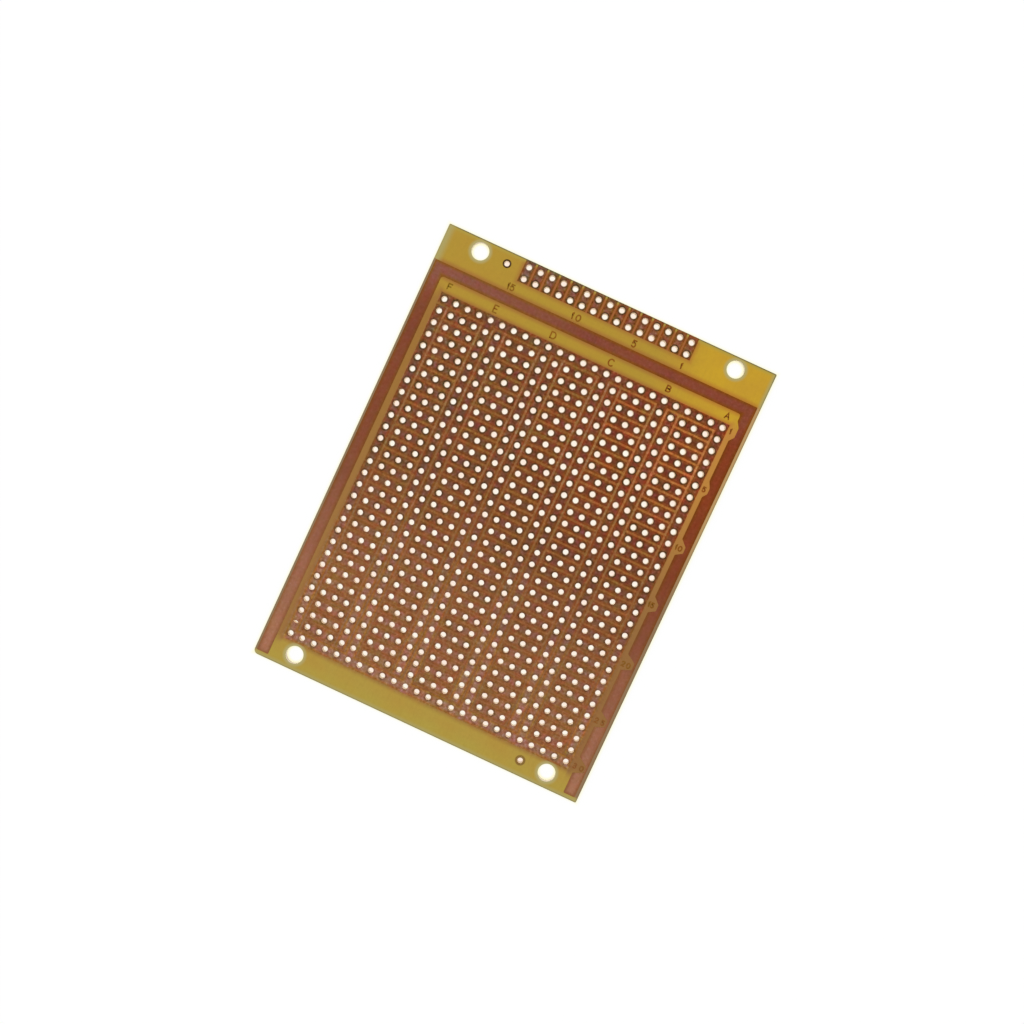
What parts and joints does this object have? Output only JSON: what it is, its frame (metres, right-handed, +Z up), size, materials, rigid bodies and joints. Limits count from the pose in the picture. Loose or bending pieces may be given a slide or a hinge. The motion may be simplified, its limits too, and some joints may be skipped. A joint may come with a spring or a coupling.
{
  "type": "prototype board",
  "caption": "Flat single-sided prototype board: drilled amber laminate with two etched comb buses, strips of three lands, edge contacts, a guard band and corner mounting holes.",
  "frame": {"origin": "middle of the underside, where the board lies on its plain face", "axes": "+X along the rows of holes, towards the leg with the row numbers; +Y towards the edge with the contacts; +Z up, out of the copper side"},
  "size_m": [0.0716, 0.0944, 0.0016],
  "materials": {
    "laminate": "translucent amber resin laminate, satin gloss, fine woven texture",
    "copper": null
  },
  "bodies": {
    "root": {"laminate": "laminate", "guard_band": "copper", "first_row_bus": "copper", "last_row_bus": "copper", "strips_1": "copper", "strips_2": "copper", "strips_3": "copper", "strips_4": "copper", "strips_5": "copper", "contact_1": "copper", "contact_2": "copper", "contact_3": "copper", "contact_4": "copper", "contact_5": "copper", "contact_6": "copper", "contact_7": "copper", "contact_8": "copper", "contact_9": "copper", "contact_10": "copper", "contact_11": "copper", "contact_12": "copper", "contact_13": "copper", "contact_14": "copper", "contact_15": "copper", "index_ring_top": "copper", "index_ring_foot": "copper"}
  },
  "joints": []
}
